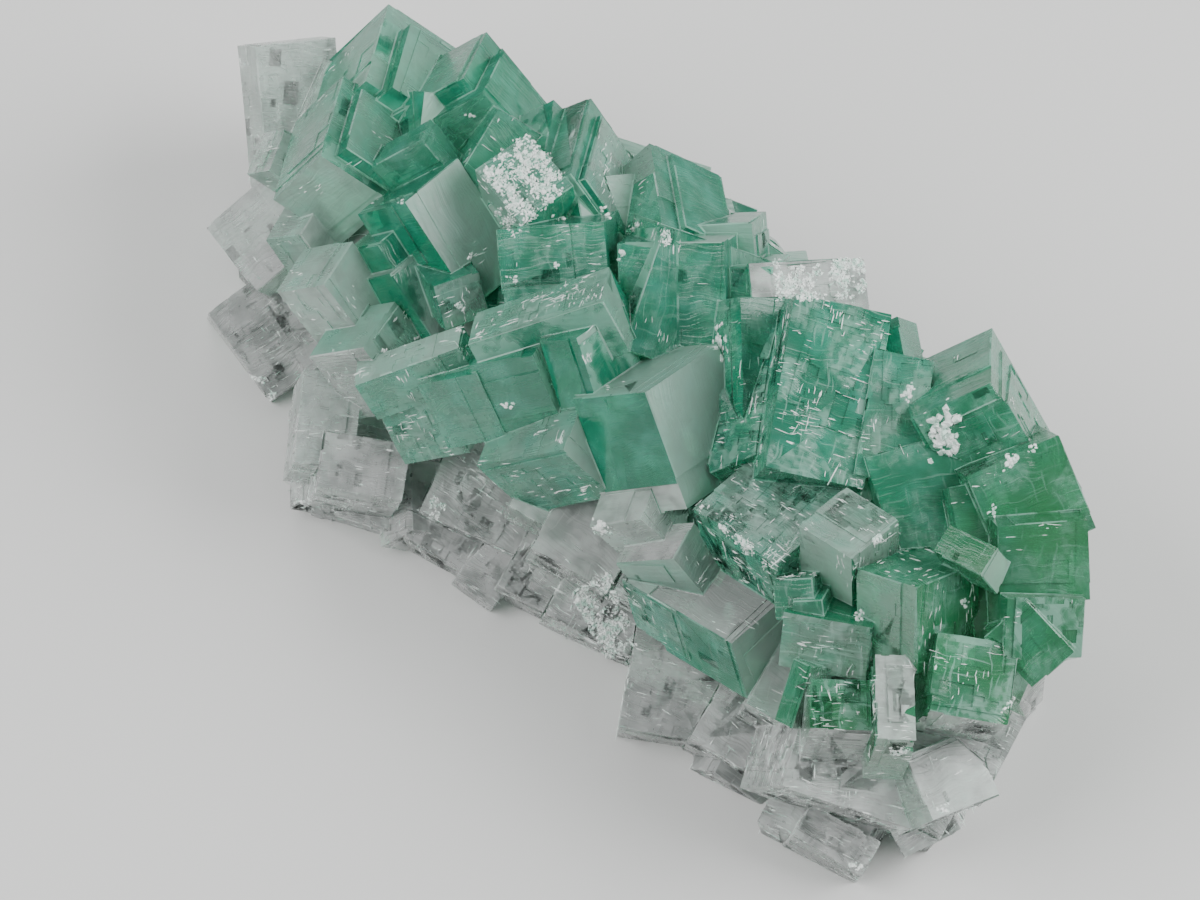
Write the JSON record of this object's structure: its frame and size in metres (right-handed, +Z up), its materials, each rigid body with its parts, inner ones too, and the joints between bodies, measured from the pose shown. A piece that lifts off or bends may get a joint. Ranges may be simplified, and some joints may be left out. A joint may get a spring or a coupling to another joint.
{
  "type": "cubic crystal cluster",
  "caption": "Cluster of intergrown see-through green cubic crystals, long and mound-shaped, clear along one side, cut flat underneath.",
  "frame": {"origin": "middle of the footprint, on the flat underside the cluster rests on", "axes": "+Z up, +X along the length of the cluster toward its deeper green end, -Y toward the clear rim"},
  "size_m": [0.1202, 0.0616, 0.0404],
  "materials": {
    "crystal": "glossy to satin growth faces, green going to clear along one side"
  },
  "bodies": {
    "root": {"crystal_cluster": "crystal"}
  },
  "joints": []
}
